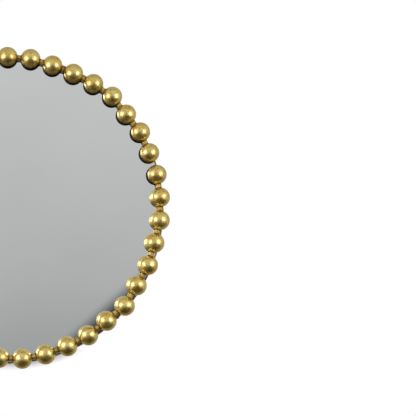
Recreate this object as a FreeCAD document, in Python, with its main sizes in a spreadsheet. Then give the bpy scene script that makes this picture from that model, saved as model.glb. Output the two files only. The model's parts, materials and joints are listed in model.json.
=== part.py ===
import FreeCAD, Part

import math
import os

import Sketcher

# A round wall mirror whose rim is a strand of 41 hollow metal balls.
#
# Frame: +Z is up. The mirror faces -Y and the wall is the plane y = 0 behind it.
# The origin is in the wall plane, on the axis of the glass.
# Lengths are in millimetres and angles in degrees.

Vector = FreeCAD.Vector
doc = FreeCAD.newDocument("ball_framed_mirror")


# ---------------------------------------------------------------- dimensions

DIMENSIONS = [
    # the strand of balls
    ("ball_count", 41, "balls in the strand"),
    ("ball_radius", 25, "outside radius of a ball"),
    ("ball_wall", 1, "sheet thickness of a hollow ball"),
    ("strand_radius", 382, "radius of the circle through the ball centres"),
    ("strand_rise", 4, "the strand sits this far above the middle of the hoop"),
    ("strand_shift", -2, "and this far right of it, so a negative number is left"),
    ("strand_drift", 3.3, "how far the spacing drifts along the circle"),
    ("first_ball_angle", 1.22, "ball_01 stands this far left of straight up"),
    ("link_radius", 6.5, "radius of the bar between two balls"),
    ("weld_gap", 0.05, "filler between a ball and what it is brazed to"),
    # the hoop that carries them
    ("hoop_gap", 0.5, "radial play of the glass and board in the hoop"),
    ("hoop_thickness", 2.5, "radial thickness of the flat bar"),
    ("seat_depth", 20, "from the ball centres back to the hoop's front edge"),
    ("hoop_rear_lip", 2, "the hoop's rear edge stands behind the board"),
    # the glass and what backs it
    ("glass_radius", 388, "radius of the glass, felt and board"),
    ("glass_thickness", 4, "float glass"),
    ("glass_arris", 0.8, "polished corner of the glass"),
    ("glass_play", 0.1, "between the glass and the backs of the balls"),
    ("liner_thickness", 1, "felt"),
    ("board_thickness", 9, "fibreboard"),
    # screws through the hoop into the board
    ("rim_screw_count", 8, "screws round the hoop"),
    ("rim_screw_hole", 2.1, "radius of the clearance hole in the hoop"),
    ("rim_screw_shank", 1.75, "shank radius"),
    ("rim_screw_head", 3.5, "head radius"),
    ("rim_screw_head_height", 2.2, "pan head"),
    ("rim_screw_length", 16, "under the head"),
    # hangers on the back of the board
    ("hanger_spacing", 400, "between the two hangers"),
    ("hang_height", 200, "hinge of the rings above the mirror's centre"),
    ("strap_sheet", 1.2, "sheet thickness, folded double"),
    ("strap_width", 22, "width"),
    ("strap_length", 58, "from the eye's axis to the lower end"),
    ("strap_corner", 6, "radius of the lower corners"),
    ("strap_hole", 2.2, "radius of a screw hole"),
    ("strap_first_hole", 29, "upper screw below the eye's axis"),
    ("strap_hole_pitch", 18, "between the two screws of a strap"),
    ("ring_wire", 2, "wire radius of the D-ring"),
    ("ring_radius", 18, "radius of the D, to the middle of the wire"),
    ("ring_corner", 4, "corner radius of the D"),
    ("ring_lean", 5, "the hanging ring leans back on its strap"),
    ("eye_play", 0.1, "radial play of the ring in the rolled eye"),
    ("hanger_screw_shank", 1.9, "shank radius"),
    ("hanger_screw_head", 3.8, "head radius"),
    ("hanger_screw_head_height", 2.4, "pan head"),
    ("hanger_screw_length", 9.5, "under the head"),
    ("screw_tip", 2.5, "length of a screw's point"),
    ("pilot_play", 0.05, "pilot hole round a screw"),
    # feet
    ("bumper_count", 4, "rubber feet"),
    ("bumper_circle", 345, "radius of the circle they stand on"),
    ("bumper_radius", 11, "at the board"),
    ("bumper_height", 8, "board to wall"),
    ("bumper_taper", 6, "draft of the side, degrees"),
]

# The strand was set by hand. These balls stand out from the circle, or in where
# the number is negative. Balls 1 to 21 follow the photograph, the rest are like them.
BALLS_SET_OUT = {
    2: -1, 3: -5, 4: -5, 5: -2, 6: 3, 7: -2, 8: 2, 10: 2, 11: 2, 12: 2, 13: -2,
    15: -2, 16: 4, 17: -2, 20: 2, 21: 3, 24: -2, 27: 2, 30: -2, 33: 1, 36: -2, 39: -1,
}

# The ends of the strand meet here without a link.
OPEN_AFTER_BALL = 9

sheet = doc.addObject("Spreadsheet::Sheet", "dims")


def set_out_alias(number):
    return f"ball_{number:02d}_set_out"


rows = list(DIMENSIONS)
for number, distance in BALLS_SET_OUT.items():
    rows.append((set_out_alias(number), distance, f"ball {number} stands out of the circle"))
for row, (alias, value, meaning) in enumerate(rows, start=1):
    sheet.set(f"A{row}", meaning)
    sheet.set(f"B{row}", str(value))
    sheet.setAlias(f"B{row}", alias)
doc.recompute()

# Levels along Y, from the wall forwards.
BOARD_BACK = "(-dims.bumper_height)"
BOARD_FRONT = f"({BOARD_BACK} - dims.board_thickness)"
LINER_FRONT = f"({BOARD_FRONT} - dims.liner_thickness)"
GLASS_FRONT = f"({LINER_FRONT} - dims.glass_thickness)"
BALL_PLANE = f"({GLASS_FRONT} - dims.glass_play - dims.ball_radius)"
HOOP_FRONT = f"({BALL_PLANE} + dims.seat_depth)"

HOOP_INSIDE = "(dims.glass_radius + dims.hoop_gap)"
HOOP_OUTSIDE = f"({HOOP_INSIDE} + dims.hoop_thickness)"
EYE_RADIUS = "(dims.ring_wire + dims.eye_play + dims.strap_sheet)"


# ------------------------------------------------------------------- helpers

def size_of(expression):
    """The value of an expression on the dimension sheet."""
    return float(sheet.evalExpression(expression))


def bind(thing, **expressions):
    """Bind properties to expressions. A double underscore stands for a dot."""
    for name, expression in expressions.items():
        thing.setExpression(name.replace("__", "."), expression)


def put_at(thing, x="0", y="0", z="0"):
    bind(thing, Placement__Base__x=x, Placement__Base__y=y, Placement__Base__z=z)


def origin_feature(body, role):
    return next(part for part in body.Origin.OriginFeatures if part.Role == role)


def new_sketch(body, name, plane, lift=None):
    """A sketch on one of the body's own planes, lifted along the plane's normal."""
    sketch = body.newObject("Sketcher::SketchObject", name)
    sketch.AttachmentSupport = (origin_feature(body, plane), [""])
    sketch.MapMode = "FlatFace"
    if lift:
        sketch.setExpression("AttachmentOffset.Base.z", lift)
    return sketch


def fix(sketch, kind, place, expression):
    """Add a dimension to a sketch and bind it to an expression."""
    index = sketch.addConstraint(Sketcher.Constraint(kind, *place, size_of(expression)))
    sketch.setExpression(f"Constraints[{index}]", expression)


def fix_point(sketch, geometry, point, x, y):
    """Hold a point at x, y. A coordinate of "0" holds it on that axis."""
    for kind, axis, expression in (("DistanceX", -2, x), ("DistanceY", -1, y)):
        if expression == "0":
            sketch.addConstraint(Sketcher.Constraint("PointOnObject", geometry, point, axis))
        else:
            fix(sketch, kind, (-1, 1, geometry, point), expression)


def draw_outline(sketch, corners):
    """A closed outline of straight lines. Each corner is an x, y pair of expressions."""
    points = [Vector(size_of(x), size_of(y), 0) for x, y in corners]
    count = len(points)
    for index in range(count):
        line = Part.LineSegment(points[index], points[(index + 1) % count])
        sketch.addGeometry(line)
    for index in range(count):
        sketch.addConstraint(Sketcher.Constraint("Coincident", index, 2, (index + 1) % count, 1))
        fix_point(sketch, index, 1, *corners[index])


def draw_circle(sketch, radius, x="0", y="0"):
    centre = Vector(size_of(x), size_of(y), 0)
    circle = sketch.addGeometry(Part.Circle(centre, Vector(0, 0, 1), size_of(radius)))
    fix(sketch, "Radius", (circle,), radius)
    fix_point(sketch, circle, 3, x, y)


def pad(body, sketch, length, both_ways=False):
    feature = body.newObject("PartDesign::Pad", f"{sketch.Name}_pad")
    feature.Profile = sketch
    feature.Midplane = both_ways
    bind(feature, Length=length)
    return feature


def pocket(body, sketch, length, both_ways=False, backwards=False):
    feature = body.newObject("PartDesign::Pocket", f"{sketch.Name}_pocket")
    feature.Profile = sketch
    feature.Midplane = both_ways
    feature.Reversed = backwards
    bind(feature, Length=length)
    return feature


def turn(body, sketch, axis, cut=False):
    """Revolve a sketch a full turn, as a solid or as a cut."""
    kind = "Groove" if cut else "Revolution"
    feature = body.newObject(f"PartDesign::{kind}", f"{sketch.Name}_turned")
    feature.Profile = sketch
    feature.ReferenceAxis = (sketch, [axis])
    feature.Angle = 360
    return feature


def repeat_round(body, feature, count):
    """Repeat a feature evenly round the mirror's axis."""
    doc.recompute()
    pattern = body.newObject("PartDesign::PolarPattern", f"{feature.Name}_round")
    pattern.Originals = [feature]
    pattern.Axis = (origin_feature(body, "Y_Axis"), [""])
    pattern.Angle = 360
    bind(pattern, Occurrences=count)
    body.Tip = pattern


def screw_outline(name, seat="0"):
    """Half the outline of a pan-head screw as radius, height pairs, head up."""
    head = f"dims.{name}_head"
    height = f"dims.{name}_head_height"
    shank = f"dims.{name}_shank"
    length = f"dims.{name}_length"
    return [
        ("0", f"{seat} + {height}"),
        (f"0.6 * {head}", f"{seat} + {height}"),
        (head, f"{seat} + 0.4 * {height}"),
        (head, seat),
        (shank, seat),
        (shank, f"{seat} - {length} + dims.screw_tip"),
        ("0", f"{seat} - {length}"),
    ]


parts = []


def finish(thing, label):
    """Name a finished sub-part and list it for writing."""
    thing.Label = label
    parts.append(thing)


# --------------------------------------------------------------------- balls

def ball_place(number):
    """Where the centre of a ball stands, as expressions for x and z."""
    angle = f"({number - 1} * 360 / dims.ball_count - dims.first_ball_angle)"
    drift = f"dims.strand_drift / dims.strand_radius * 180 / pi * cos(2 * {angle})"
    radius = "dims.strand_radius"
    if number in BALLS_SET_OUT:
        radius = f"(dims.strand_radius + dims.{set_out_alias(number)})"
    x = f"{radius} * sin({angle} + {drift}) + dims.strand_shift"
    z = f"{radius} * cos({angle} + {drift}) + dims.strand_rise"
    return x, z


def make_ball(number):
    """A hollow ball, spun from sheet as two halves and brazed shut."""
    name = f"ball_{number:02d}"
    outside = doc.addObject("Part::Sphere", f"{name}_outside")
    bind(outside, Radius="dims.ball_radius")
    inside = doc.addObject("Part::Sphere", f"{name}_inside")
    bind(inside, Radius="dims.ball_radius - dims.ball_wall")
    ball = doc.addObject("Part::Cut", name)
    ball.Base = outside
    ball.Tool = inside
    x, z = ball_place(number)
    put_at(ball, x, BALL_PLANE, z)
    return ball


ball_count = int(size_of("dims.ball_count"))
balls = [make_ball(number) for number in range(1, ball_count + 1)]
doc.recompute()
for ball in balls:
    finish(ball, ball.Name)


# --------------------------------------------------------------------- links

def link_between(first, second):
    """A short round bar, coped at both ends to sit on the balls."""
    start = first.Placement.Base
    end = second.Placement.Base
    along = end - start
    cope = size_of("dims.ball_radius + dims.weld_gap")
    bar = Part.makeCylinder(size_of("dims.link_radius"), along.Length, start, along)
    return bar.cut([Part.makeSphere(cope, start), Part.makeSphere(cope, end)])


links = []
for index, ball in enumerate(balls):
    if index + 1 != OPEN_AFTER_BALL:
        links.append(link_between(ball, balls[(index + 1) % ball_count]))
ball_links = doc.addObject("Part::Feature", "ball_links")
ball_links.Shape = Part.makeCompound(links)
ball_links.Placement = FreeCAD.Placement()
finish(ball_links, "ball_links")


# ---------------------------------------------------------------------- hoop

def make_seat(number):
    """The ball's outline with the filler, which the seat in the hoop follows."""
    seat = doc.addObject("Part::Sphere", f"seat_{number:02d}")
    bind(seat, Radius="dims.ball_radius + dims.weld_gap")
    x, z = ball_place(number)
    put_at(seat, x, BALL_PLANE, z)
    return seat


def make_rim_hoop():
    """Flat bar on edge, rolled into a ring, with a seat for each ball."""
    body = doc.addObject("PartDesign::Body", "hoop_bar")
    put_at(body, y=BOARD_BACK)
    front = f"({HOOP_FRONT} - {BOARD_BACK})"
    section = new_sketch(body, "hoop_section", "XY_Plane")
    draw_outline(section, [
        (HOOP_INSIDE, "dims.hoop_rear_lip"),
        (HOOP_OUTSIDE, "dims.hoop_rear_lip"),
        (HOOP_OUTSIDE, front),
        (HOOP_INSIDE, front),
    ])
    turn(body, section, "V_Axis")
    hole = new_sketch(body, "hoop_hole", "XZ_Plane", lift="dims.board_thickness / 2")
    draw_outline(hole, [
        ("0", f"{HOOP_INSIDE} - 1"),
        ("dims.rim_screw_hole", f"{HOOP_INSIDE} - 1"),
        ("dims.rim_screw_hole", f"{HOOP_OUTSIDE} + 1"),
        ("0", f"{HOOP_OUTSIDE} + 1"),
    ])
    repeat_round(body, turn(body, hole, "V_Axis", cut=True), "dims.rim_screw_count")
    seats = doc.addObject("Part::Compound", "ball_seats")
    seats.Links = [make_seat(number) for number in range(1, ball_count + 1)]
    hoop = doc.addObject("Part::Cut", "rim_hoop")
    hoop.Base = body
    hoop.Tool = seats
    finish(hoop, "rim_hoop")


make_rim_hoop()


# ------------------------------------------------------------ glass and felt

def make_mirror_glass():
    """A disc of silvered float glass with polished corners."""
    body = doc.addObject("PartDesign::Body", "mirror_glass")
    put_at(body, y=LINER_FRONT)
    section = new_sketch(body, "glass_section", "XY_Plane")
    thick = "dims.glass_thickness"
    arris = "dims.glass_arris"
    edge = "dims.glass_radius"
    draw_outline(section, [
        ("0", "0"),
        (f"{edge} - {arris}", "0"),
        (edge, f"-{arris}"),
        (edge, f"{arris} - {thick}"),
        (f"{edge} - {arris}", f"-{thick}"),
        ("0", f"-{thick}"),
    ])
    turn(body, section, "V_Axis")
    finish(body, "mirror_glass")


def make_glass_liner():
    """A disc of felt that presses the glass against the balls."""
    body = doc.addObject("PartDesign::Body", "glass_liner")
    put_at(body, y=BOARD_FRONT)
    disc = new_sketch(body, "liner_disc", "XZ_Plane")
    draw_circle(disc, "dims.glass_radius")
    pad(body, disc, "dims.liner_thickness")
    finish(body, "glass_liner")


make_mirror_glass()
make_glass_liner()


# --------------------------------------------------------------------- board

def hanger_screw_places():
    """The four screws of the hangers, as expressions for x and z."""
    upper = "dims.hang_height - dims.strap_first_hole"
    lower = f"{upper} - dims.strap_hole_pitch"
    across = "dims.hanger_spacing / 2"
    return [(x, z) for x in (f"-{across}", across) for z in (upper, lower)]


def make_backing_board():
    """A fibreboard disc with pilot holes in its edge and its back."""
    body = doc.addObject("PartDesign::Body", "backing_board")
    put_at(body, y=BOARD_BACK)
    disc = new_sketch(body, "board_disc", "XZ_Plane")
    draw_circle(disc, "dims.glass_radius")
    pad(body, disc, "dims.board_thickness")

    pilots = new_sketch(body, "hanger_pilots", "XZ_Plane")
    for x, z in hanger_screw_places():
        draw_circle(pilots, "dims.hanger_screw_shank + dims.pilot_play", x, z)
    depth = "dims.hanger_screw_length - 2 * dims.strap_sheet + 0.5"
    pocket(body, pilots, depth, backwards=True)

    edge = new_sketch(body, "edge_pilot", "XZ_Plane", lift="dims.board_thickness / 2")
    wide = "dims.rim_screw_shank + dims.pilot_play"
    bottom = f"{HOOP_OUTSIDE} - dims.rim_screw_length - 1"
    top = "dims.glass_radius + 1"
    draw_outline(edge, [("0", bottom), (wide, bottom), (wide, top), ("0", top)])
    repeat_round(body, turn(body, edge, "V_Axis", cut=True), "dims.rim_screw_count")
    finish(body, "backing_board")


def make_rim_screws():
    """Pan-head screws that hold the hoop to the edge of the board."""
    body = doc.addObject("PartDesign::Body", "rim_screws")
    put_at(body, y=f"{BOARD_BACK} - dims.board_thickness / 2")
    outline = new_sketch(body, "rim_screw_outline", "XZ_Plane")
    draw_outline(outline, screw_outline("rim_screw", HOOP_OUTSIDE))
    repeat_round(body, turn(body, outline, "V_Axis"), "dims.rim_screw_count")
    finish(body, "rim_screws")


make_backing_board()
make_rim_screws()


# ------------------------------------------------------------------- hangers

def make_hanger_strap(side, x):
    """A steel strap folded double round the ring, with two screw holes."""
    body = doc.addObject("PartDesign::Body", f"hanger_strap_{side}")
    put_at(body, x, f"{BOARD_BACK} + {EYE_RADIUS}", "dims.hang_height")
    outer = f"(2 * dims.strap_sheet - {EYE_RADIUS})"
    plate = new_sketch(body, f"strap_plate_{side}", "YZ_Plane")
    draw_outline(plate, [
        (f"-{EYE_RADIUS}", "-dims.strap_length"),
        (outer, "-dims.strap_length"),
        (outer, "0"),
        (f"-{EYE_RADIUS}", "0"),
    ])
    solid = pad(body, plate, "dims.strap_width", both_ways=True)
    doc.recompute()

    lower = -size_of("dims.strap_length")
    corners = []
    for index, edge in enumerate(solid.Shape.Edges, start=1):
        ends = [vertex.Point for vertex in edge.Vertexes]
        along_y = abs(ends[0].y - ends[1].y) > 1
        at_end = all(abs(point.z - lower) < 0.01 for point in ends)
        if along_y and at_end:
            corners.append(f"Edge{index}")
    rounded = body.newObject("PartDesign::Fillet", f"strap_corners_{side}")
    rounded.Base = (solid, corners)
    bind(rounded, Radius="dims.strap_corner")

    eye = new_sketch(body, f"strap_eye_{side}", "YZ_Plane")
    draw_circle(eye, EYE_RADIUS)
    pad(body, eye, "dims.strap_width", both_ways=True)
    bore = new_sketch(body, f"strap_bore_{side}", "YZ_Plane")
    draw_circle(bore, "dims.ring_wire + dims.eye_play")
    pocket(body, bore, "dims.strap_width + 2", both_ways=True)
    holes = new_sketch(body, f"strap_holes_{side}", "XZ_Plane")
    first = "-dims.strap_first_hole"
    for z in (first, f"{first} - dims.strap_hole_pitch"):
        draw_circle(holes, "dims.strap_hole", y=z)
    pocket(body, holes, f"4 * {EYE_RADIUS}", both_ways=True)
    finish(body, f"hanger_strap_{side}")


def draw_ring_path(sketch):
    """The middle line of the D-ring: a straight bar, two corners and an arc."""
    radius = size_of("dims.ring_radius")
    corner = size_of("dims.ring_corner")
    bar = math.sqrt((radius - corner) ** 2 - corner ** 2)
    slope = math.atan2(corner, bar)
    facing = Vector(0, 0, 1)

    def arc(x, y, size, start, end):
        circle = Part.Circle(Vector(x, y, 0), facing, size)
        return sketch.addGeometry(Part.ArcOfCircle(circle, start, end))

    right_bar = sketch.addGeometry(Part.LineSegment(Vector(0, 0, 0), Vector(bar, 0, 0)))
    right_corner = arc(bar, -corner, corner, -slope, math.pi / 2)
    bow = arc(0, 0, radius, math.pi + slope, 2 * math.pi - slope)
    left_corner = arc(-bar, -corner, corner, math.pi / 2, math.pi + slope)
    left_bar = sketch.addGeometry(Part.LineSegment(Vector(-bar, 0, 0), Vector(0, 0, 0)))
    for joint in (
        (right_bar, 2, right_corner, 2),
        (right_corner, 1, bow, 2),
        (bow, 1, left_corner, 2),
        (left_corner, 1, left_bar, 1),
    ):
        sketch.addConstraint(Sketcher.Constraint("Tangent", *joint))
    for end in ((right_bar, 1), (left_bar, 2), (bow, 3)):
        sketch.addConstraint(Sketcher.Constraint("Coincident", *end, -1, 1))
    sketch.addConstraint(Sketcher.Constraint("Horizontal", right_bar))
    sketch.addConstraint(Sketcher.Constraint("Horizontal", left_bar))
    sketch.addConstraint(Sketcher.Constraint("Equal", right_corner, left_corner))
    fix(sketch, "Radius", (right_corner,), "dims.ring_corner")
    fix(sketch, "Radius", (bow,), "dims.ring_radius")


def make_hanger_ring(side, x):
    """A D-ring of round wire, hanging down from its eye and leaning on the strap."""
    body = doc.addObject("PartDesign::Body", f"hanger_ring_{side}")
    body.Placement.Rotation = FreeCAD.Rotation(Vector(1, 0, 0), size_of("dims.ring_lean"))
    put_at(body, x, f"{BOARD_BACK} + {EYE_RADIUS}", "dims.hang_height")
    bind(body, Placement__Rotation__Angle="dims.ring_lean")
    path = new_sketch(body, f"ring_path_{side}", "XZ_Plane")
    draw_ring_path(path)
    wire = new_sketch(body, f"ring_wire_{side}", "YZ_Plane")
    draw_circle(wire, "dims.ring_wire")
    pipe = body.newObject("PartDesign::AdditivePipe", f"ring_bent_{side}")
    pipe.Profile = wire
    pipe.Spine = (path, [])
    finish(body, f"hanger_ring_{side}")


def make_hanger_screws():
    """Two pan-head screws in each strap."""
    body = doc.addObject("PartDesign::Body", "hanger_screws")
    x, z = hanger_screw_places()[0]
    put_at(body, x, f"{BOARD_BACK} + 2 * dims.strap_sheet", z)
    outline = new_sketch(body, "hanger_screw_outline", "YZ_Plane")
    draw_outline(outline, [(height, radius) for radius, height in screw_outline("hanger_screw")])
    screw = turn(body, outline, "H_Axis")
    doc.recompute()
    both = body.newObject("PartDesign::MultiTransform", "hanger_screw_rows")
    both.Originals = [screw]
    body.Tip = both
    down = body.newObject("PartDesign::LinearPattern", "screws_down_a_strap")
    down.Direction = (origin_feature(body, "Z_Axis"), [""])
    down.Reversed = True
    down.Occurrences = 2
    bind(down, Length="dims.strap_hole_pitch")
    across = body.newObject("PartDesign::LinearPattern", "screws_across_the_board")
    across.Direction = (origin_feature(body, "X_Axis"), [""])
    across.Occurrences = 2
    bind(across, Length="dims.hanger_spacing")
    both.Transformations = [down, across]
    body.Tip = both
    finish(body, "hanger_screws")


for side, x in (("left", "-dims.hanger_spacing / 2"), ("right", "dims.hanger_spacing / 2")):
    make_hanger_strap(side, x)
    make_hanger_ring(side, x)
make_hanger_screws()


# ------------------------------------------------------------------- bumpers

def make_wall_bumpers():
    """Tapered rubber feet stuck to the board."""
    body = doc.addObject("PartDesign::Body", "wall_bumpers")
    put_at(body)
    foot = new_sketch(body, "bumper_disc", "XZ_Plane", lift="dims.bumper_height")
    reach = "dims.bumper_circle * sin(45)"
    draw_circle(foot, "dims.bumper_radius", reach, reach)
    feature = pad(body, foot, "dims.bumper_height")
    feature.Reversed = True
    bind(feature, TaperAngle="-dims.bumper_taper")
    repeat_round(body, feature, "dims.bumper_count")
    finish(body, "wall_bumpers")


make_wall_bumpers()


# --------------------------------------------------------- checks and output

doc.recompute()
for thing in doc.Objects:
    if "Invalid" in thing.State or "Error" in thing.State:
        raise RuntimeError(f"{thing.Name} did not recompute: {thing.State}")
for part in parts:
    if part.Shape.isNull() or not part.Shape.isValid() or not part.Shape.Solids:
        raise RuntimeError(f"{part.Label} has no valid solid")

os.makedirs("parts", exist_ok=True)
for part in parts:
    box = part.Shape.BoundBox
    print(f"{part.Label}: {len(part.Shape.Solids)} solids, {part.Shape.Volume:.0f} mm3, "
          f"x {box.XMin:.1f} to {box.XMax:.1f}, y {box.YMin:.2f} to {box.YMax:.2f}, "
          f"z {box.ZMin:.1f} to {box.ZMax:.1f}")
    part.Shape.exportStep(f"parts/{part.Label}.step")
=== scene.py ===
import json
import math

import bmesh
import bpy
from mathutils import Matrix, Vector, noise


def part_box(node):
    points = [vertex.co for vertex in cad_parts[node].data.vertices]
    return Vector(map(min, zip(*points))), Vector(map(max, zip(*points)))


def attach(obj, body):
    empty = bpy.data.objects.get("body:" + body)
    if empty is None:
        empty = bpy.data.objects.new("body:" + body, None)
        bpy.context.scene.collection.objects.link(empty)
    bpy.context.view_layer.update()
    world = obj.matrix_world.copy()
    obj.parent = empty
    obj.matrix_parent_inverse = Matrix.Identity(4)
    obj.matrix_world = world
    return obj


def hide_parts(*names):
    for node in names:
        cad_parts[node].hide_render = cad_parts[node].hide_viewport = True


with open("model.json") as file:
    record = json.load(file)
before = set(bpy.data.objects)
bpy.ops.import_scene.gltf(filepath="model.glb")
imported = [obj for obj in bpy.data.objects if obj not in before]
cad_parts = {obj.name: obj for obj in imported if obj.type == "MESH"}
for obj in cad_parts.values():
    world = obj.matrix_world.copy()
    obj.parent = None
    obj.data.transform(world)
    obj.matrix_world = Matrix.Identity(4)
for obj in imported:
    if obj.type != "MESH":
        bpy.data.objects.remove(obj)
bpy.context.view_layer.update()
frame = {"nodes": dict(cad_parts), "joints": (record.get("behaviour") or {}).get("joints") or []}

# A round wall mirror edged with a strand of gilt balls. It hangs on a wall, the plane y = 0,
# and faces -Y. Sizes are in metres; MM turns millimetres into them.
MM = 0.001


# ------------------------------------------------------------------------------ balls
# 41 hollow balls, each spun from thin brass as two halves that are brazed together round the
# middle, then gilded. Each is brazed to its links and to the hoop behind it. On the upper balls
# the side that faces the glass is darkened with painted shade, and near the links and the hoop
# every ball is darkened with soiling and painted shade together.

BALL_COUNT = 41
OPEN_AFTER_BALL = 9            # there is no link between this ball and the next
LINK_RADIUS = 6.5 * MM
BALL_MERIDIANS = 64
BALL_PARALLELS = 40
DENT_DEPTH = 0.08 * MM         # how far hand finishing leaves a ball from a true sphere
DENT_WIDTH = 14 * MM
SEAM_RISE = 0.07 * MM          # the dressed braze line round the middle of a ball
GRIME_AND_SHADE_REACH = 5.5 * MM         # soiling and painted shade reach this far from a joint
BACK_SHADE = 2.0               # painted shade on the glass-facing backs, as much as hides the leaf
CLOSE = 0.01 * MM              # two measures that differ by less are taken as the same

# Where the painted shade on the backs begins and is full: by the height of a ball above the
# mirror's middle, and by how far a place on it faces backwards and inwards, each between -1 and 1.
DARK_BY_HEIGHT = (30 * MM, 80 * MM)
DARK_BACKWARDS = (-0.6, 0.1)
DARK_INWARDS = (-0.2, 0.2)


def ball_name(number):
    return f"ball_{number:02d}"


def ball_centre(number):
    low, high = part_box(ball_name(number))
    return (low + high) / 2


def ball_after(number, steps=1):
    """The number of the ball so many steps further round the strand."""
    return (number - 1 + steps) % BALL_COUNT + 1


ball_low, ball_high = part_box(ball_name(1))
BALL_RADIUS = (ball_high.y - ball_low.y) / 2
hoop_low, hoop_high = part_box("rim_hoop")
HOOP_OUTSIDE = hoop_high.x
HOOP_FRONT = hoop_low.y

centres = {number: ball_centre(number) for number in range(1, BALL_COUNT + 1)}


def linked_neighbours(number):
    """The balls that a ball is joined to by a link."""
    found = []
    if number != OPEN_AFTER_BALL:
        found.append(ball_after(number))
    if number != OPEN_AFTER_BALL + 1:
        found.append(ball_after(number, -1))
    return found


def rise(value, start, full):
    """Rises gently from 0 where the value is at start to 1 where it is at full."""
    share = min(max((value - start) / (full - start), 0), 1)
    return share * share * (3 - 2 * share)


def nearness(distance):
    """1 on a joint, fading to 0 at GRIME_AND_SHADE_REACH from it."""
    return rise(distance, GRIME_AND_SHADE_REACH, 0)


def painted_back_shade(out, number):
    """Painted shade where a ball faces the glass, on upper balls. out points from its centre."""
    centre = centres[number]
    inwards = Vector((-centre.x, 0, -centre.z)).normalized()
    high_up = rise(centre.z, *DARK_BY_HEIGHT)
    behind = rise(out.y, *DARK_BACKWARDS)
    return BACK_SHADE * high_up * behind * rise(out.dot(inwards), *DARK_INWARDS)


def grime_and_shade_on_ball(place, number):
    """How dark a ball point is: soiling with painted shade at joints, painted shade behind."""
    out = (place - centres[number]).normalized()
    found = painted_back_shade(out, number)
    for neighbour in linked_neighbours(number):
        towards = (centres[neighbour] - centres[number]).normalized()
        from_axis = BALL_RADIUS * math.acos(min(max(out.dot(towards), -1), 1))
        found = max(found, nearness(abs(from_axis - LINK_RADIUS)))
    from_hoop = math.hypot(math.hypot(place.x, place.z) - HOOP_OUTSIDE, place.y - HOOP_FRONT)
    return max(found, nearness(from_hoop))


def linear(colour):
    """An sRGB colour written as RRGGBB, as linear red, green, blue and alpha."""
    parts = [int(colour[start:start + 2], 16) / 255 for start in (0, 2, 4)]
    return [p / 12.92 if p <= 0.04045 else ((p + 0.055) / 1.055) ** 2.4 for p in parts] + [1]


def add_node(tree, kind, inputs=None, **settings):
    """Adds a node. An input is a value, or another node or one of its outputs to link."""
    made = tree.nodes.new(kind)
    for name, value in settings.items():
        setattr(made, name, value)
    for name, value in (inputs or {}).items():
        if isinstance(value, bpy.types.Node):
            tree.links.new(value.outputs[0], made.inputs[name])
        elif isinstance(value, bpy.types.NodeSocket):
            tree.links.new(value, made.inputs[name])
        else:
            made.inputs[name].default_value = value
    return made


def new_material(name, **surface):
    """A material with a Principled surface. Returns it, its node tree and the surface node."""
    material = bpy.data.materials.new(name)
    material.use_nodes = True
    tree = material.node_tree
    tree.nodes.clear()
    shader = add_node(tree, "ShaderNodeBsdfPrincipled", {
        key.replace("_", " "): value for key, value in surface.items()})
    add_node(tree, "ShaderNodeOutputMaterial", {"Surface": shader})
    return material, tree, shader


def blotches(tree, size, detail=2, low=0.4, high=0.6, rough=0.5):
    """Patches about as wide as size, as a 0 to 1 factor between two noise levels."""
    place = add_node(tree, "ShaderNodeTexCoord").outputs["Object"]
    cloud = add_node(tree, "ShaderNodeTexNoise", {
        "Vector": place, "Scale": 0.5 / size, "Detail": detail, "Roughness": rough})
    return add_node(tree, "ShaderNodeMapRange", {
        "Value": cloud.outputs["Fac"], "From Min": low, "From Max": high},
        interpolation_type="SMOOTHSTEP").outputs["Result"]


def mixed(tree, factor, first, second):
    """A colour between two others."""
    return add_node(tree, "ShaderNodeMix", {0: factor, 6: first, 7: second},
                    data_type="RGBA").outputs[2]


def scaled(tree, factor, amount, offset=0.0):
    """A factor times an amount, plus an offset. Each may be a number or a socket."""
    return add_node(tree, "ShaderNodeMath", {0: factor, 1: amount, 2: offset},
                    operation="MULTIPLY_ADD").outputs[0]


LEAF_WARM_PATCH = 11 * MM
LEAF_GREEN_PATCH = 7 * MM
SPECK_SIZE = 2 * MM            # a guess, because the real ones are too fine to measure
SPECK_COLOUR = "86622A"
SPECK_STRENGTH = 0.62
GRIME_AND_SHADE_PATCH = 3 * MM
# A dark brown for soiling and painted shade at the joints, and painted shade on the backs.
GRIME_AND_SHADE_COLOUR = "3A2A0E"
GRIME_AND_SHADE_LEAST = 0.6               # soiling and painted shade cover this share of the leaf at least where they lie
GRIME_AND_SHADE_VARIES = 0.35             # and up to this much more in patches
DULL_PATCH = 5 * MM
DULL_VARIES = 0.10
GRIME_AND_SHADE_DULLS = 0.25              # how much rougher the leaf is under the soiling and painted shade
LEAF_WRINKLE = 2.5 * MM
WRINKLE_DEPTH = 0.15 * MM


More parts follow.
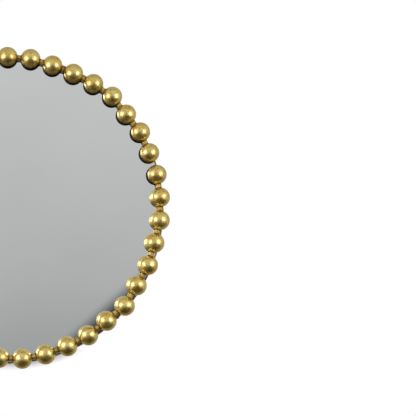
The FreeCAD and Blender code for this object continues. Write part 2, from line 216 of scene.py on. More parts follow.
def gilding(name, gold, warm, green, roughness):
    """Leaf gilding on brass: a soft, slightly uneven gold with warm and greenish patches where
    the leaf is thin, dark specks, and darker places from a mesh attribute: soiling with painted
    shade at the joints, and painted shade on the backs of the upper balls. The specks are drawn
    as wide as they must be to show."""
    material, tree, shader = new_material(name, Metallic=1.0)
    warm_patches = blotches(tree, LEAF_WARM_PATCH, low=0.42, high=0.62)
    colour = mixed(tree, warm_patches, linear(gold), linear(warm))
    green_patches = blotches(tree, LEAF_GREEN_PATCH, low=0.5, high=0.68)
    colour = mixed(tree, green_patches, colour, linear(green))
    specks = blotches(tree, SPECK_SIZE, detail=3, low=0.51, high=0.7)
    colour = mixed(tree, scaled(tree, specks, SPECK_STRENGTH), colour, linear(SPECK_COLOUR))
    # Darker from the mesh's attribute: soiling and painted shade near the joints, painted shade on
    # the backs of the upper balls.
    grime_and_shade = add_node(tree, "ShaderNodeAttribute", attribute_name="grime_and_shade").outputs["Fac"]
    patchy = scaled(tree, blotches(tree, GRIME_AND_SHADE_PATCH), GRIME_AND_SHADE_VARIES, GRIME_AND_SHADE_LEAST)
    grime_and_shade_cover = add_node(tree, "ShaderNodeMath", {0: grime_and_shade, 1: patchy}, operation="MULTIPLY")
    colour = mixed(tree, grime_and_shade_cover, colour, linear(GRIME_AND_SHADE_COLOUR))
    tree.links.new(colour, shader.inputs["Base Color"])
    dull = scaled(tree, blotches(tree, DULL_PATCH, detail=3), DULL_VARIES, roughness)
    rough = add_node(tree, "ShaderNodeMath", {0: dull, 1: scaled(tree, grime_and_shade, GRIME_AND_SHADE_DULLS)},
                     operation="ADD")
    tree.links.new(rough.outputs[0], shader.inputs["Roughness"])
    bump = add_node(tree, "ShaderNodeBump", {
        "Height": blotches(tree, LEAF_WRINKLE, detail=4, low=0.2, high=0.8),
        "Strength": 0.1, "Distance": WRINKLE_DEPTH})
    tree.links.new(bump.outputs[0], shader.inputs["Normal"])
    return material


SHARP_OVER = 40                # degrees between two faces that meet in a visible edge


def make_object(name, shape, materials, sharp=SHARP_OVER):
    """Makes an object of a bmesh, smooth except where faces meet at over sharp degrees."""
    mesh = bpy.data.meshes.new(name)
    shape.to_mesh(mesh)
    shape.free()
    mesh.shade_smooth()
    mesh.set_sharp_from_angle(angle=math.radians(sharp))
    for material in materials:
        mesh.materials.append(material)
    piece = bpy.data.objects.new(name, mesh)
    bpy.context.scene.collection.objects.link(piece)
    return piece


def make_gilt_ball(number, material):
    """One ball. Its poles lie along the strand, so its links cover them."""
    shape = bmesh.new()
    bmesh.ops.create_uvsphere(shape, u_segments=BALL_MERIDIANS, v_segments=BALL_PARALLELS,
                              radius=BALL_RADIUS)
    for vertex in shape.verts:
        if abs(vertex.co.y) < CLOSE:
            vertex.co *= 1 + SEAM_RISE / BALL_RADIUS
    along = (centres[ball_after(number)] - centres[ball_after(number, -1)]).normalized()
    turn = Vector((0, 0, 1)).rotation_difference(along).to_matrix().to_4x4()
    bmesh.ops.transform(shape, matrix=Matrix.Translation(centres[number]) @ turn,
                        verts=shape.verts)
    # The attribute holds soiling and painted shade near the links and the hoop, and painted shade
    # on the glass-facing backs of the upper balls.
    grime_and_shade = shape.verts.layers.float.new("grime_and_shade")
    for vertex in shape.verts:
        vertex[grime_and_shade] = grime_and_shade_on_ball(vertex.co, number)
        out = (vertex.co - centres[number]).normalized()
        vertex.co += out * DENT_DEPTH * noise.noise(vertex.co / DENT_WIDTH)
    return make_object(f"gilt_{ball_name(number)}", shape, [material])


leaf_on_balls = gilding("leaf_gilded_brass_balls", gold="F3D886", warm="ECC36C",
                        green="E6D985", roughness=0.30)
for number in range(1, BALL_COUNT + 1):
    ball = make_gilt_ball(number, leaf_on_balls)
    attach(ball, "mirror")
    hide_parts(ball_name(number))


# ------------------------------------------------------------------------------ links
# 40 short lengths of brass bar between the balls. Both ends are hollowed to fit the balls,
# and a small fillet of braze runs round each end.

BRAZE_GAP = 0.05 * MM
FILLET = 1.1 * MM
FILLET_RIM = 0.4 * FILLET      # the straight edge of the fillet, on the ball
FILLET_STEPS = 4
HOLLOW_STEPS = (0, 0.35, 0.7, 0.9, 1)     # of the radius of a link's hollow end
BAR_STEPS = (0.7, 0, -0.7)     # of half the bar's length
LINK_SIDES = 36
LINK_FADE = 2.2                # soiling and painted shade fade this much faster on a link than on a ball
LINK_DENT_WIDTH = 0.4 * DENT_WIDTH


def lathe(outline, steps, closed=False):
    """Turns an outline of (radius, height) pairs once round the Y axis, height along +Y."""
    shape = bmesh.new()
    corners = [shape.verts.new((radius, height, 0)) for radius, height in outline]
    ends = corners[1:] + corners[:1] if closed else corners[1:]
    for first, second in zip(corners, ends):
        shape.edges.new((first, second))
    bmesh.ops.spin(shape, geom=shape.verts[:] + shape.edges[:], cent=(0, 0, 0), axis=(0, 1, 0),
                   angle=math.tau, steps=steps, use_merge=True)
    bmesh.ops.remove_doubles(shape, verts=shape.verts, dist=CLOSE / 10)
    bmesh.ops.recalc_face_normals(shape, faces=shape.faces)
    return shape


def link_outline(half):
    """One end of a link: the hollow that sits on a ball, then the fillet, then the bar."""
    seat = BALL_RADIUS + BRAZE_GAP
    wide = LINK_RADIUS + FILLET

    def on_ball(radius):
        return half - math.sqrt(seat ** 2 - radius ** 2)

    outline = [(share * wide, on_ball(share * wide)) for share in HOLLOW_STEPS]
    for step in range(1, FILLET_STEPS + 1):
        turn = math.radians(90) * step / FILLET_STEPS
        outline.append((wide - FILLET * math.sin(turn),
                        on_ball(wide) - FILLET_RIM - FILLET * (1 - math.cos(turn))))
    return outline


def add_link(strand, grime_and_shade, first, second):
    """Adds the link between two balls to the strand, a bmesh with a layer for the soiling
    and painted shade near its ends.
    """
    apart = centres[second] - centres[first]
    end = link_outline(apart.length / 2)
    bar = [(LINK_RADIUS, share * end[-1][1]) for share in BAR_STEPS]
    outline = end + bar + [(radius, -height) for radius, height in reversed(end)]
    link = lathe(outline, LINK_SIDES)
    turn = Vector((0, 1, 0)).rotation_difference(apart).to_matrix().to_4x4()
    place = Matrix.Translation((centres[first] + centres[second]) / 2) @ turn
    bmesh.ops.transform(link, matrix=place, verts=link.verts)
    made = {vertex: strand.verts.new(vertex.co) for vertex in link.verts}
    # Soiling and painted shade near the ends of the link.
    for vertex, copy in made.items():
        gap = min((vertex.co - centres[n]).length - BALL_RADIUS for n in (first, second))
        copy[grime_and_shade] = nearness(LINK_FADE * gap)
        out = (copy.co - place.translation).normalized()
        copy.co += out * DENT_DEPTH * noise.noise(copy.co / LINK_DENT_WIDTH)
    for face in link.faces:
        strand.faces.new([made[vertex] for vertex in face.verts])
    link.free()


strand = bmesh.new()
grime_and_shade_layer = strand.verts.layers.float.new("grime_and_shade")
for number in range(1, BALL_COUNT + 1):
    if number != OPEN_AFTER_BALL:
        add_link(strand, grime_and_shade_layer, number, ball_after(number))
leaf_on_links = gilding("leaf_gilded_brass_links", gold="DDBE6C", warm="BE9A4C",
                        green="C9B262", roughness=0.55)
links = make_object("gilt_links", strand, [leaf_on_links], sharp=50)
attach(links, "mirror")
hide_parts("ball_links")


# ------------------------------------------------------------------------------- hoop
# Flat brass bar on edge, rolled into a ring and gilded. The balls are brazed to its front edge,
# which is notched to seat them, and the glass and board drop in from behind.

HOOP_STEPS = 32 * BALL_COUNT
HOOP_ARRIS = 0.4 * MM
HOOP_BACK = hoop_high.y
glass_low, glass_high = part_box("mirror_glass")
HOOP_INSIDE = glass_high.x + 0.5 * MM         # the glass has that much play all round


def hard_edges(shape, degrees=45):
    """The edges at which two faces meet at more than an angle."""
    return [edge for edge in shape.edges if edge.calc_face_angle(0) > math.radians(degrees)]


def round_edges(shape, edges, offset, segments):
    bmesh.ops.bevel(shape, geom=edges, offset=offset, segments=segments, profile=0.5,
                    affect="EDGES", material=-1)


hoop_shape = lathe([
    (HOOP_INSIDE, HOOP_BACK), (HOOP_OUTSIDE, HOOP_BACK),
    (HOOP_OUTSIDE, HOOP_FRONT), (HOOP_INSIDE, HOOP_FRONT)], HOOP_STEPS, closed=True)
round_edges(hoop_shape, hard_edges(hoop_shape), HOOP_ARRIS, 2)
# Soiling and painted shade on the hoop, darkest where the balls sit in it.
hoop_grime_and_shade = hoop_shape.verts.layers.float.new("grime_and_shade")
reach = BALL_RADIUS + BRAZE_GAP
for vertex in hoop_shape.verts:
    centre = min(centres.values(), key=lambda place: (vertex.co - place).length_squared)
    if (vertex.co - centre).length < reach:
        aside = math.hypot(vertex.co.x - centre.x, vertex.co.z - centre.z)
        vertex.co.y = centre.y + math.sqrt(reach ** 2 - aside ** 2)
    vertex[hoop_grime_and_shade] = nearness((vertex.co - centre).length - reach)
leaf_on_hoop = gilding("leaf_gilded_brass_hoop", gold="C9A456", warm="A8803C",
                       green="B59A52", roughness=0.38)
hoop = make_object("gilt_hoop", hoop_shape, [leaf_on_hoop])
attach(hoop, "mirror")
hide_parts("rim_hoop")


# ------------------------------------------------------------------------------ glass
# A 4 mm disc of float glass, silvered and painted grey on the back, with a ground arris.
# It is held flat between the balls in front and the felt behind.

GLASS_ARRIS = 0.8 * MM
DISC_STEPS = 328

# The silvered face mirrors sharply and nearly white. The ground edge is a frosted grey-green,
# and the paint behind is a plain satin grey.
silver = new_material("silvered_float_glass", Base_Color=linear("F3F4F4"), Metallic=1.0,
                      Roughness=0.012)[0]
ground = new_material("ground_glass_edge", Base_Color=linear("7FA692"), Roughness=0.45,
                      Specular_IOR_Level=0.6)[0]
paint = new_material("mirror_back_paint", Base_Color=linear("6F7478"), Roughness=0.55)[0]
SILVER, GROUND, PAINT = range(3)


def make_disc(low, high, arris, segments):
    """A disc between two corners of its box, with its two edges broken."""
    shape = lathe([(0, high.y), (high.x, high.y), (high.x, low.y), (0, low.y)], DISC_STEPS)
    round_edges(shape, hard_edges(shape), arris, segments)
    return shape


glass_shape = make_disc(glass_low, glass_high, GLASS_ARRIS, 1)
for face in glass_shape.faces:
    depth = face.calc_center_median().y
    if depth > glass_high.y - CLOSE:
        face.material_index = PAINT
    elif depth > glass_low.y + CLOSE:
        face.material_index = GROUND
    else:
        face.material_index = SILVER
glass = make_object("silvered_glass_disc", glass_shape, [silver, ground, paint], sharp=20)
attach(glass, "mirror")
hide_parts("mirror_glass")


# ------------------------------------------------------------------------------- felt
# A disc of thin grey felt between the glass and the board. It takes up the play, so that the
# glass doesn't rattle. It is matt, of mixed fibres, which are drawn wide enough to show.

FELT_TUFT = 1.5 * MM

felt, felt_tree, felt_shader = new_material("grey_wool_felt", Roughness=0.95)
fibres = blotches(felt_tree, FELT_TUFT, detail=5, low=0.3, high=0.7, rough=0.7)
felt_colour = mixed(felt_tree, fibres, linear("4C4C4B"), linear("6E6D6A"))
felt_tree.links.new(felt_colour, felt_shader.inputs["Base Color"])
felt_shader.inputs["Sheen Weight"].default_value = 0.3
frame["nodes"]["glass_liner"].data.materials.clear()
frame["nodes"]["glass_liner"].data.materials.append(felt)


# ------------------------------------------------------------------------------ board
# A 9 mm disc of dark brown fibreboard behind the felt. The rim screws hold the hoop to its
# edge, and the hangers and feet are fixed to its back. It is matt, pressed brown all over with
# dark flecks and a few pale fibres, both drawn wide enough to show.

BOARD_ARRIS = 0.6 * MM
BOARD_PATCH = 24 * MM
DARK_FLECK = 1.6 * MM
DARK_FLECK_STRENGTH = 0.55
PALE_FIBRE = 2.3 * MM
PALE_FIBRE_STRENGTH = 0.5
BOARD_GRAIN_DEPTH = 0.1 * MM
board_low, board_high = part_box("backing_board")

fibreboard, board_tree, board_shader = new_material("dark_fibreboard", Roughness=0.72)
pressed = blotches(board_tree, BOARD_PATCH, detail=4, low=0.35, high=0.65)
board_colour = mixed(board_tree, pressed, linear("6E5640"), linear("7C634B"))
flecks = blotches(board_tree, DARK_FLECK, detail=4, low=0.52, high=0.66, rough=0.65)
flecks = scaled(board_tree, flecks, DARK_FLECK_STRENGTH)
board_colour = mixed(board_tree, flecks, board_colour, linear("4A3727"))
pale_fibres = blotches(board_tree, PALE_FIBRE, detail=5, low=0.58, high=0.7, rough=0.7)
pale_fibres = scaled(board_tree, pale_fibres, PALE_FIBRE_STRENGTH)
board_colour = mixed(board_tree, pale_fibres, board_colour, linear("A38A6C"))
board_tree.links.new(board_colour, board_shader.inputs["Base Color"])
board_bump = add_node(board_tree, "ShaderNodeBump", {
    "Height": blotches(board_tree, DARK_FLECK, detail=4, low=0.2, high=0.8),
    "Strength": 0.4, "Distance": BOARD_GRAIN_DEPTH})
board_tree.links.new(board_bump.outputs[0], board_shader.inputs["Normal"])

board = make_object("fibreboard_back", make_disc(board_low, board_high, BOARD_ARRIS, 3),
                    [fibreboard])
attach(board, "mirror")
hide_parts("backing_board")


# ------------------------------------------------------------------------- rim screws
# Eight brass-plated pan-head screws through the hoop into the edge of the board, one every
# 45 degrees from the top. Each head has a cross recess.

RIM_SCREW_COUNT = 8
SCREW_SIDES = 32
SCREW_TIP = 2.5 * MM           # the end of a screw has no thread
THREAD_PITCH = 1.4 * MM
THREAD_DEPTH = 0.25 * MM
THREAD_FORM = (0.25, 0.55, 0.8)           # start and end of the root, and crest, in a pitch
PAN_HEAD = ((0, 1), (0.45, 1), (0.7, 0.93), (0.9, 0.72), (1, 0.42))   # of its radius and height
RECESS = (1.15, 1.3, 0.24)     # the cutter's length, height and width, of the head's
RECESS_FOOT = (0.35, 0.6)      # how much of its length and width is left at its foot
screw_low, screw_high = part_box("rim_screws")
RIM_HEAD_TOP = screw_high.z
RIM_SCREW_Y = (screw_low.y + screw_high.y) / 2


def cut_away(piece, cutter):
    """Takes the cutter's shape out of a piece, for good."""
    boolean = piece.modifiers.new("cut", "BOOLEAN")
    boolean.operation = "DIFFERENCE"
    boolean.solver = "EXACT"
    boolean.object = cutter
    evaluated = piece.evaluated_get(bpy.context.evaluated_depsgraph_get())
    mesh = bpy.data.meshes.new_from_object(evaluated)
    piece.modifiers.clear()
    old = piece.data
    piece.data = mesh
    bpy.data.meshes.remove(old)
    bpy.data.objects.remove(cutter)
    mesh.set_sharp_from_angle(angle=math.radians(SHARP_OVER))


def screw_outline(head, height, shank, length):
    """Half the section of a pan-head screw, its head up and its seat at height 0."""
    outline = [(out * head, up * height) for out, up in PAN_HEAD] + [(head, 0), (shank, 0)]
    root = shank - THREAD_DEPTH
    turns = int((length - SCREW_TIP) / THREAD_PITCH)
    pitch = (length - SCREW_TIP) / turns
    for turn in range(turns):
        for radius, share in zip((root, root, shank), THREAD_FORM):
            outline.append((radius, -turn * pitch - share * pitch))
    outline += [(root, SCREW_TIP - length), (0, -length)]
    return outline


def make_screw(head, height, shank, length):
    """A screw that points down the Y axis, with a cross recess in its head."""
    blank = lathe(screw_outline(head, height, shank, length), SCREW_SIDES)
    screw = make_object("screw_blank", blank, [])
    for turn in (0, 90):               # one cut at a time, because a cutter can't cross itself
        slot = bmesh.new()
        corners = bmesh.ops.create_cube(slot, size=1)["verts"]
        size = (RECESS[0] * head, RECESS[1] * height, RECESS[2] * head)
        bmesh.ops.scale(slot, vec=size, verts=corners)
        for corner in corners:
            if corner.co.y < 0:
                corner.co.x *= RECESS_FOOT[0]
                corner.co.z *= RECESS_FOOT[1]
        bmesh.ops.translate(slot, vec=(0, height, 0), verts=corners)
        bmesh.ops.rotate(slot, cent=(0, 0, 0), verts=corners,
                         matrix=Matrix.Rotation(math.radians(turn), 3, "Y"))
        cut_away(screw, make_object("cross_recess", slot, []))
    made = bmesh.new()
    made.from_mesh(screw.data)
    bpy.data.objects.remove(screw)
    return made


def repeat(shape, places):
    """A bmesh with a copy of the shape at each place, a matrix. Frees the shape."""
    mesh = bpy.data.meshes.new("repeated")
    shape.to_mesh(mesh)
    shape.free()
    made = bmesh.new()
    for place in places:
        start = len(made.verts)
        made.from_mesh(mesh)
        made.verts.ensure_lookup_table()
        bmesh.ops.transform(made, matrix=place, verts=made.verts[start:])
    bpy.data.meshes.remove(mesh)
    return made


HANDLED_PATCH = 3 * MM
PLATE_GRAIN = 2 * MM
PLATE_GRAIN_DULLS = 0.15


def plated(name, bright, dull, roughness):
    """Bright metal plate on steel: fine cloudy grain, with duller patches from handling."""
    material, tree, shader = new_material(name, Metallic=1.0)
    patches = blotches(tree, HANDLED_PATCH, detail=3)
    tree.links.new(mixed(tree, patches, linear(bright), linear(dull)), shader.inputs["Base Color"])
    grain = blotches(tree, PLATE_GRAIN, detail=4, rough=0.6)
    tree.links.new(scaled(tree, grain, PLATE_GRAIN_DULLS, roughness), shader.inputs["Roughness"])
    return material


brassed = plated("brass_plated_steel", bright="E8C878", dull="CFA85A", roughness=0.26)
turns = [Matrix.Rotation(math.tau * step / RIM_SCREW_COUNT, 4, "Y")
         for step in range(RIM_SCREW_COUNT)]
stand_up = Matrix.Translation((0, RIM_SCREW_Y, HOOP_OUTSIDE)) @ Matrix.Rotation(
    math.radians(90), 4, "X")
rim_screw = make_screw(head=3.5 * MM, height=RIM_HEAD_TOP - HOOP_OUTSIDE, shank=1.75 * MM,
                       length=16 * MM)
rim_screw_shape = repeat(rim_screw, [turn @ stand_up for turn in turns])
rim_screws = make_object("brass_rim_screws", rim_screw_shape, [brassed], sharp=35)
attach(rim_screws, "mirror")
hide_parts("rim_screws")


# ----------------------------------------------------------------------------- straps
# Two zinc-plated steel straps on the board. Each is a strip 1.2 mm thick, folded double round
# the bar of its D-ring and screwed down through both leaves.

STRAP_SHEET = 1.2 * MM
EYE_BORE = 2.1 * MM
EYE_RADIUS = EYE_BORE + STRAP_SHEET
EYE_STEPS = 24
LEAF_GAP = 0.08 * MM
STRAP_CORNER = 6 * MM
STRAP_HOLE = 2.2 * MM
STRAP_EDGE = 0.18 * MM
LEAVE_BORE = -125              # where the front leaf leaves the wire, in degrees
SCREW_DROPS = (29 * MM, 47 * MM)          # the two screws below the eye
DRILL_LENGTH = 4 * EYE_RADIUS
HINGES = {joint["child"]: Vector(joint["pos_m"]) for joint in frame["joints"]}


def arc(radius, start, end, steps):
    """Points on an arc round the eye as (y, z), angles in degrees from +Y towards +Z."""
    turns = [math.radians(start + (end - start) * step / steps) for step in range(steps + 1)]
    return [(radius * math.cos(turn), radius * math.sin(turn)) for turn in turns]


def make_strap(side, hinge, material):
    """A strap: the section of the folded strip, drawn out to its width, corners rounded."""
    low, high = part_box(f"hanger_strap_{side}")
    foot = low.z - hinge.z
    rear = -EYE_RADIUS
    front = rear + 2 * STRAP_SHEET
    fold = rear + STRAP_SHEET
    leave_eye = -math.degrees(math.acos(front / EYE_RADIUS))
    section = [(rear, foot)] + arc(EYE_RADIUS, 180, leave_eye, EYE_STEPS)
    section += [(front, foot), (fold + LEAF_GAP, foot), (fold + LEAF_GAP, -EYE_RADIUS)]
    section += arc(EYE_BORE, LEAVE_BORE, 180, EYE_STEPS) + [(fold, foot)]
    shape = bmesh.new()
    left = [shape.verts.new((low.x, hinge.y + y, hinge.z + z)) for y, z in section]
    face = shape.faces.new(left)
    drawn = bmesh.ops.extrude_face_region(shape, geom=[face], use_keep_orig=True)["geom"]
    right = [item for item in drawn if isinstance(item, bmesh.types.BMVert)]
    bmesh.ops.translate(shape, vec=(high.x - low.x, 0, 0), verts=right)
    bmesh.ops.recalc_face_normals(shape, faces=shape.faces)
    corners = [edge for edge in shape.edges
               if all(abs(vertex.co.z - low.z) < CLOSE for vertex in edge.verts)
               and abs(edge.verts[0].co.x - edge.verts[1].co.x) < CLOSE]
    round_edges(shape, corners, STRAP_CORNER, 8)
    round_edges(shape, hard_edges(shape, 60), STRAP_EDGE, 2)
    strap = make_object(f"zinc_strap_{side}", shape, [material], sharp=35)
    for drop in SCREW_DROPS:
        drill = bmesh.new()
        place = Matrix.Translation((hinge.x, hinge.y, hinge.z - drop))
        bmesh.ops.create_cone(drill, cap_ends=True, segments=SCREW_SIDES, radius1=STRAP_HOLE,
                              radius2=STRAP_HOLE, depth=DRILL_LENGTH,
                              matrix=place @ Matrix.Rotation(math.radians(90), 4, "X"))
        cut_away(strap, make_object("drill", drill, []))
    return strap


zinc_sheet = plated("zinc_plated_sheet", bright="C9CDCE", dull="AEB2B4", roughness=0.34)
for side in ("left", "right"):
    strap = make_strap(side, HINGES[f"{side}_ring"], zinc_sheet)
    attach(strap, "mirror")
    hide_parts(f"hanger_strap_{side}")


# -------------------------------------------------------------------------- D-rings
# Two D-shaped rings of 4 mm zinc-plated wire. The straight bar turns in the strap's eye, and
# the ring hangs down until the mirror is lifted on to its wall hooks.

RING_WIRE = 2 * MM
RING_RADIUS = 18 * MM
RING_CORNER = 4 * MM
RING_LEAN = math.radians(5)    # at rest, off the board
BOW_STEPS = 40
CORNER_STEPS = 8
WIRE_SIDES = 20


def ring_line():
    """The middle line of a hanging D-ring round its hinge: bar, corner, bow, corner."""
    bar = math.sqrt((RING_RADIUS - RING_CORNER) ** 2 - RING_CORNER ** 2)
    slope = math.degrees(math.atan2(RING_CORNER, bar))
    line = []
    for side, start, end in ((1, 90, -slope), (-1, 180 + slope, 90)):
        corner = arc(RING_CORNER, start, end, CORNER_STEPS)
        corner = [(x + side * bar, z - RING_CORNER) for x, z in corner]
        line += corner
        if side == 1:
            line += arc(RING_RADIUS, -slope, slope - 180, BOW_STEPS)[1:-1]
    return line


def make_ring(side, hinge, material):
    """A ring: a circle of wire carried round the middle line and joined to itself."""
    line = [Vector((x, 0, z)) for x, z in ring_line()]
    shape = bmesh.new()
    circles = []
    for index, point in enumerate(line):
        along = (line[(index + 1) % len(line)] - line[index - 1]).normalized()
        turn = Vector((0, 0, 1)).rotation_difference(along).to_matrix().to_4x4()
        circles.append(bmesh.ops.create_circle(
            shape, segments=WIRE_SIDES, radius=RING_WIRE,
            matrix=Matrix.Translation(point) @ turn)["verts"])
    for index, circle in enumerate(circles):
        pair = circle + circles[index - 1]
        edges = {edge for vertex in pair for edge in vertex.link_edges
                 if len(edge.link_faces) < 2 and all(end in pair for end in edge.verts)}
        bmesh.ops.bridge_loops(shape, edges=list(edges))
    bmesh.ops.recalc_face_normals(shape, faces=shape.faces)
    place = Matrix.Translation(hinge) @ Matrix.Rotation(RING_LEAN, 4, "X")
    bmesh.ops.transform(shape, matrix=place, verts=shape.verts)
    return make_object(f"zinc_d_ring_{side}", shape, [material])


zinc_wire = plated("zinc_plated_wire", bright="CED1D2", dull="B4B8BA", roughness=0.28)
for side in ("left", "right"):
    ring = make_ring(side, HINGES[f"{side}_ring"], zinc_wire)
    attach(ring, f"{side}_ring")
    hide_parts(f"hanger_ring_{side}")


# ---------------------------------------------------------------------- hanger screws
# Four zinc-plated pan-head screws, two through each strap into the board.

SCREW_TWISTS = (25, 65)        # how far each one is turned, in degrees
STRAP_TOP = board_high.y + 2 * STRAP_SHEET
HANGER_HEAD_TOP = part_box("hanger_screws")[1].y

places = []
for hinge in HINGES.values():
    for drop, twist in zip(SCREW_DROPS, SCREW_TWISTS):
        places.append(Matrix.Translation((hinge.x, STRAP_TOP, hinge.z - drop))
                      @ Matrix.Rotation(math.radians(twist), 4, "Y"))
hanger_screw = make_screw(head=3.8 * MM, height=HANGER_HEAD_TOP - STRAP_TOP, shank=1.9 * MM,
                          length=9.5 * MM)
zinc_screws = plated("zinc_plated_screws", bright="D2D4D4", dull="B0B4B6", roughness=0.26)
hanger_screws = make_object("zinc_hanger_screws", repeat(hanger_screw, places), [zinc_screws],
                            sharp=35)
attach(hanger_screws, "mirror")
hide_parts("hanger_screws")


# ------------------------------------------------------------------------------- feet
# Four tapered feet of black rubber, stuck to the board. They keep the mirror off the wall. The
# rubber is matt, with a faint grey bloom on it.

FOOT_COUNT = 4
FOOT_RADIUS = 11 * MM
FOOT_TAPER = math.radians(6)
FOOT_EDGE = 0.6 * MM
FOOT_DISH = 0.8 * MM           # the hollow in its face
DISH_RIM = 0.45                # of the radius of the face
DISH_FLOOR = 0.4
FOOT_STEPS = 48
FOOT_CIRCLE = 345 * MM
RUBBER_BLOOM = 4 * MM
feet_low, feet_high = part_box("wall_bumpers")

rubber, rubber_tree, rubber_shader = new_material("moulded_black_rubber", Roughness=0.6)
bloom = blotches(rubber_tree, RUBBER_BLOOM, detail=3)
rubber_colour = mixed(rubber_tree, bloom, linear("1B1B1C"), linear("2A2A2A"))
rubber_tree.links.new(rubber_colour, rubber_shader.inputs["Base Color"])

face_radius = FOOT_RADIUS - (feet_high.y - feet_low.y) * math.tan(FOOT_TAPER)
dish = feet_high.y - FOOT_DISH
foot_shape = lathe([
    (0, feet_low.y), (FOOT_RADIUS, feet_low.y), (face_radius, feet_high.y),
    (DISH_RIM * face_radius, feet_high.y), (DISH_FLOOR * face_radius, dish), (0, dish)],
    FOOT_STEPS)
rims = [edge for edge in hard_edges(foot_shape)
        if all(vertex.co.y > feet_high.y - CLOSE for vertex in edge.verts)]
round_edges(foot_shape, rims, FOOT_EDGE, 3)
feet_shape = repeat(foot_shape, [
    Matrix.Rotation(math.tau * (step + 0.5) / FOOT_COUNT, 4, "Y")
    @ Matrix.Translation((FOOT_CIRCLE, 0, 0)) for step in range(FOOT_COUNT)])
feet = make_object("rubber_feet", feet_shape, [rubber], sharp=35)
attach(feet, "mirror")
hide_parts("wall_bumpers")


# ---------------------------------------------------------------------- wall and floor
# The white wall that the mirror hangs on, seen only from the front, and a pale floor below.
# The wall keeps the faint shade that the real one has under the bottom of the hoop.

FLOOR_LEVEL = -0.62
STAGE_REACH = 8.0
SHADE_REACH = 22 * MM
SHADE_HEIGHTS = (-0.345, -0.385)          # where the shade starts and is full
SHADE_STRENGTH = 1.6
SHADE_COLOUR = "30332F"
FLOOR_GLOW = 0.45                         # how much of the floor's white is its own light


def make_stage(name, material, corners):
    """A flat rectangle that isn't part of the object and casts nothing on it."""
    shape = bmesh.new()
    shape.faces.new([shape.verts.new(corner) for corner in corners])
    stage = make_object(name, shape, [material])
    for ray in ("visible_diffuse", "visible_glossy", "visible_transmission", "visible_shadow"):
        setattr(stage, ray, False)


def stage_material(name):
    """A material with nothing in it yet, and its node tree."""
    material = bpy.data.materials.new(name)
    material.use_nodes = True
    material.node_tree.nodes.clear()
    return material, material.node_tree


white_wall, wall_tree = stage_material("white_wall")
height = add_node(wall_tree, "ShaderNodeSeparateXYZ", {
    0: add_node(wall_tree, "ShaderNodeTexCoord").outputs["Object"]}).outputs["Z"]
low_down = add_node(wall_tree, "ShaderNodeMapRange", {
    "Value": height, "From Min": SHADE_HEIGHTS[0], "From Max": SHADE_HEIGHTS[1]},
    interpolation_type="SMOOTHSTEP").outputs["Result"]
hidden = add_node(wall_tree, "ShaderNodeAmbientOcclusion", {"Distance": SHADE_REACH}, samples=16)
shade = scaled(wall_tree, hidden.outputs["AO"], -1.0, 1.0)
shade = add_node(wall_tree, "ShaderNodeMath", {0: shade, 1: low_down}, operation="MULTIPLY")
shade = scaled(wall_tree, shade.outputs[0], -SHADE_STRENGTH, 1.0)
shaded = mixed(wall_tree, shade, linear(SHADE_COLOUR), (1, 1, 1, 1))
wall_light = add_node(wall_tree, "ShaderNodeEmission", {"Color": shaded, "Strength": 1.0})
see_through = add_node(wall_tree, "ShaderNodeBsdfTransparent")
behind = add_node(wall_tree, "ShaderNodeNewGeometry").outputs["Backfacing"]
wall_surface = add_node(wall_tree, "ShaderNodeMixShader", {
    0: behind, 1: wall_light, 2: see_through})
add_node(wall_tree, "ShaderNodeOutputMaterial", {"Surface": wall_surface})
make_stage("white_wall", white_wall, [
    (-STAGE_REACH, 0, FLOOR_LEVEL), (STAGE_REACH, 0, FLOOR_LEVEL),
    (STAGE_REACH, 0, STAGE_REACH), (-STAGE_REACH, 0, STAGE_REACH)])

pale_floor, floor_tree = stage_material("pale_floor")
floor_paint = add_node(floor_tree, "ShaderNodeBsdfDiffuse", {"Color": (0.9, 0.9, 0.9, 1)})
floor_lift = add_node(floor_tree, "ShaderNodeEmission", {"Color": (1, 1, 1, 1)})
floor_surface = add_node(floor_tree, "ShaderNodeMixShader", {
    0: FLOOR_GLOW, 1: floor_paint, 2: floor_lift})
add_node(floor_tree, "ShaderNodeOutputMaterial", {"Surface": floor_surface})
make_stage("pale_floor", pale_floor, [
    (-STAGE_REACH, -STAGE_REACH, FLOOR_LEVEL), (STAGE_REACH, -STAGE_REACH, FLOOR_LEVEL),
    (STAGE_REACH, STAGE_REACH, FLOOR_LEVEL), (-STAGE_REACH, STAGE_REACH, FLOOR_LEVEL)])


# ------------------------------------------------------------------------------ lights
# Two square soft boxes, in front of the mirror to its left and right and a little above its
# middle, and a softer one behind for the back views, which no polished surface shows.

scene = bpy.context.scene
BOX_SIDE = 0.9
BOX_DISTANCE = 2.0
BOX_HEIGHT = 0.29
BOXES = {"left_soft_box": (-50, 19), "right_soft_box": (50, 11.5)}   # degrees to the side, watts
BOX_COLOUR = (0.84, 0.91, 1.16)
BACK_BOX_SIDE = 2.4
BACK_BOX_PLACE = Vector((0.6, 2.6, 1.2))
BACK_BOX_POWER = 55


def add_soft_box(name, place, side, power):
    """A square lamp that faces the middle of the mirror."""
    light = bpy.data.lights.new(name, "AREA")
    light.shape = "SQUARE"
    light.size = side
    light.energy = power
    light.color = BOX_COLOUR
    lamp = bpy.data.objects.new(name, light)
    scene.collection.objects.link(lamp)
    lamp.location = place
    lamp.rotation_mode = "QUATERNION"
    lamp.rotation_quaternion = (-place).to_track_quat("-Z", "Y")
    lamp.visible_camera = False
    return lamp


for name, (turn, power) in BOXES.items():
    stand = Vector((BOX_DISTANCE * math.sin(math.radians(turn)),
                    -BOX_DISTANCE * math.cos(math.radians(turn)), BOX_HEIGHT))
    add_soft_box(name, stand, BOX_SIDE, power)
back_light = add_soft_box("back_soft_box", BACK_BOX_PLACE, BACK_BOX_SIDE, BACK_BOX_POWER)
back_light.visible_glossy = False


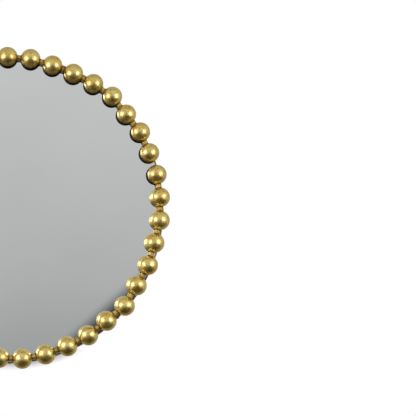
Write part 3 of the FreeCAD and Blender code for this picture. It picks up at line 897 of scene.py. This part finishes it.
# ------------------------------------------------------------------------------- room
# The room as the mirror and the balls show it: grey walls that fade downwards, a dark floor in
# front, a pale wall behind, and something dark low on the right. The eye sees it white.

world = bpy.data.worlds.new("studio_room")
scene.world = world
world.use_nodes = True
room = world.node_tree
room.nodes.clear()
look = add_node(room, "ShaderNodeTexCoord").outputs["Generated"]
look_parts = add_node(room, "ShaderNodeSeparateXYZ", {0: look})

# Tones by how high a line of sight points, from straight down, 0, to straight up, 1. Lines to
# the front count as lower and lines to the sides as higher, most on the left, because the floor
# is darkest in front. The glass shows no more than the tones from 0.355 to 0.428.
ROOM_TONES = [
    (0.0, "3F370D"), (0.11, "4D4528"), (0.28, "5F5A4C"), (0.325, "6C6A61"), (0.343, "83847F"),
    (0.355, "A5A7A6"), (0.375, "B5B7B6"), (0.428, "C9CBCA"), (0.58, "C4C6C4"),
    (0.68, "D5D6D4"), (0.78, "DBDCDA"), (1.0, "B5B5B1")]
WALL_TONES = [(0.0, "6C6A62"), (0.1, "9C9B96"), (0.27, "B1B1AE"), (0.5, "BCBCBA")]
LOWER_IN_FRONT = 0.25
HIGHER_AT_SIDES = 0.2
HIGHER_ON_LEFT = 0.08
CLOUD_SCALE = 16.0             # clouds on the walls, this many to a radian
CLOUD_VARIES = 0.10
CLOUD_LEAST = 0.95
WALL_BEHIND = (-0.05, 0.2)     # how far back the wall starts to show, and shows fully
DARK_COLOUR = "33373A"
UNSEEN_FILL = "A8A8A8"         # what matt surfaces are lit by


def tones(height, steps):
    """The colour at a height between -1 and 1, from steps of position and colour."""
    found = add_node(room, "ShaderNodeValToRGB", {0: scaled(room, height, 0.5, 0.5)})
    ramp = found.color_ramp
    while len(ramp.elements) < len(steps):
        ramp.elements.new(0.5)
    for element, (position, colour) in zip(ramp.elements, steps):
        element.position = position
        element.color = linear(colour)
    return found.outputs["Color"]


aside = add_node(room, "ShaderNodeMath", {0: look_parts.outputs["X"]}, operation="ABSOLUTE")
raised = add_node(room, "ShaderNodeVectorMath", {
    0: look, 1: (-HIGHER_ON_LEFT, LOWER_IN_FRONT, 1)}, operation="DOT_PRODUCT").outputs["Value"]
seen_height = scaled(room, aside, HIGHER_AT_SIDES, raised)
clouds = add_node(room, "ShaderNodeTexNoise", {
    "Vector": look, "Scale": CLOUD_SCALE, "Detail": 2.0})
cloudy = scaled(room, clouds.outputs["Fac"], CLOUD_VARIES, CLOUD_LEAST)
front = add_node(room, "ShaderNodeVectorMath", {
    0: tones(seen_height, ROOM_TONES), "Scale": cloudy}, operation="SCALE").outputs[0]

# The dark thing low on the right: its edge is straight, and it shows just inside the hoop.
DARK_SIDE = math.radians(139)                  # clockwise from straight up
DARK_EDGE = (0.0350, 0.0446)                   # where it starts and is full, as slopes
DARK_REACH = (math.radians(10), math.radians(8))
to_dark_side = (math.sin(DARK_SIDE), 0, math.cos(DARK_SIDE))
in_dark = 1
for direction, start, full in (
        (to_dark_side, *DARK_EDGE), ((0, -1, 0), *(math.cos(turn) for turn in DARK_REACH))):
    along = add_node(room, "ShaderNodeVectorMath", {0: look, 1: direction},
                     operation="DOT_PRODUCT").outputs["Value"]
    within = add_node(room, "ShaderNodeMapRange", {
        "Value": along, "From Min": start, "From Max": full}, interpolation_type="SMOOTHSTEP")
    in_dark = add_node(room, "ShaderNodeMath", {0: within.outputs["Result"], 1: in_dark},
                       operation="MULTIPLY").outputs[0]
front = mixed(room, in_dark, front, linear(DARK_COLOUR))

wall_side = add_node(room, "ShaderNodeMapRange", {
    "Value": look_parts.outputs["Y"], "From Min": WALL_BEHIND[0], "From Max": WALL_BEHIND[1]},
    interpolation_type="SMOOTHSTEP").outputs["Result"]
around = mixed(room, wall_side, front, tones(look_parts.outputs["Z"], WALL_TONES))

rays = add_node(room, "ShaderNodeLightPath")
room_light = add_node(room, "ShaderNodeBackground", {"Color": around, "Strength": 1.0})
soft_fill = add_node(room, "ShaderNodeBackground", {
    "Color": linear(UNSEEN_FILL), "Strength": 1.0})
white = add_node(room, "ShaderNodeBackground", {"Color": (1, 1, 1, 1), "Strength": 1.0})
lit = add_node(room, "ShaderNodeMixShader", {
    0: rays.outputs["Is Diffuse Ray"], 1: room_light, 2: soft_fill})
seen = add_node(room, "ShaderNodeMixShader", {0: rays.outputs["Is Camera Ray"], 1: lit, 2: white})
add_node(room, "ShaderNodeOutputWorld", {"Surface": seen})


# ----------------------------------------------------------------------------- camera
# A long lens 4.8 m in front of the mirror and just below its middle, turned to the right so
# that the mirror fills the left half of the picture and runs out of it.

camera_data = bpy.data.cameras.new("camera")
camera_data.sensor_width = 36
camera_data.lens = 162.1
camera_data.shift_x = 0.1
camera = bpy.data.objects.new("camera", camera_data)
scene.collection.objects.link(camera)
camera.location = (0.05, -4.8, -0.17)
turn_right = math.radians(4.177)
tilt_up = math.radians(2.077)
camera.rotation_euler = (math.radians(90) + tilt_up, 0, -turn_right)
scene.camera = camera

scene.view_settings.view_transform = "Standard"
